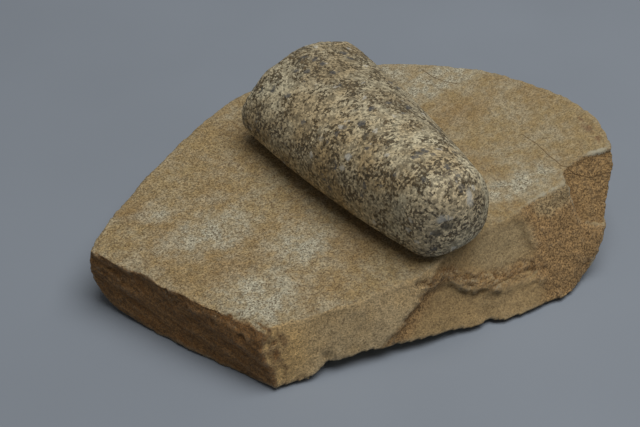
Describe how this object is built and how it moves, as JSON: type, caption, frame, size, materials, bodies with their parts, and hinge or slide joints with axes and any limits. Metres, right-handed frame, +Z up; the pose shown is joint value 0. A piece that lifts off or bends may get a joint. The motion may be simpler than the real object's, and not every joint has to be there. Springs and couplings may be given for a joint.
{
  "type": "saddle quern stone",
  "caption": "Broken boat-shaped saddle quern of sandstone with a hollowed grinding face, and a loaf-shaped granite rubbing stone lying across it.",
  "frame": {"origin": "on the surface the quern stands on, under the middle of its length and width", "axes": "+X along the quern towards its thick end, +Y across it towards the edge that is whole, +Z up"},
  "size_m": [0.4427, 0.3327, 0.1405],
  "materials": {
    "sandstone": "pecked and worn, matt",
    "granite": "pecked, rubbed smooth by hand"
  },
  "bodies": {
    "root": {"quern_slab": "sandstone", "rubbing_stone": "granite"}
  },
  "joints": []
}
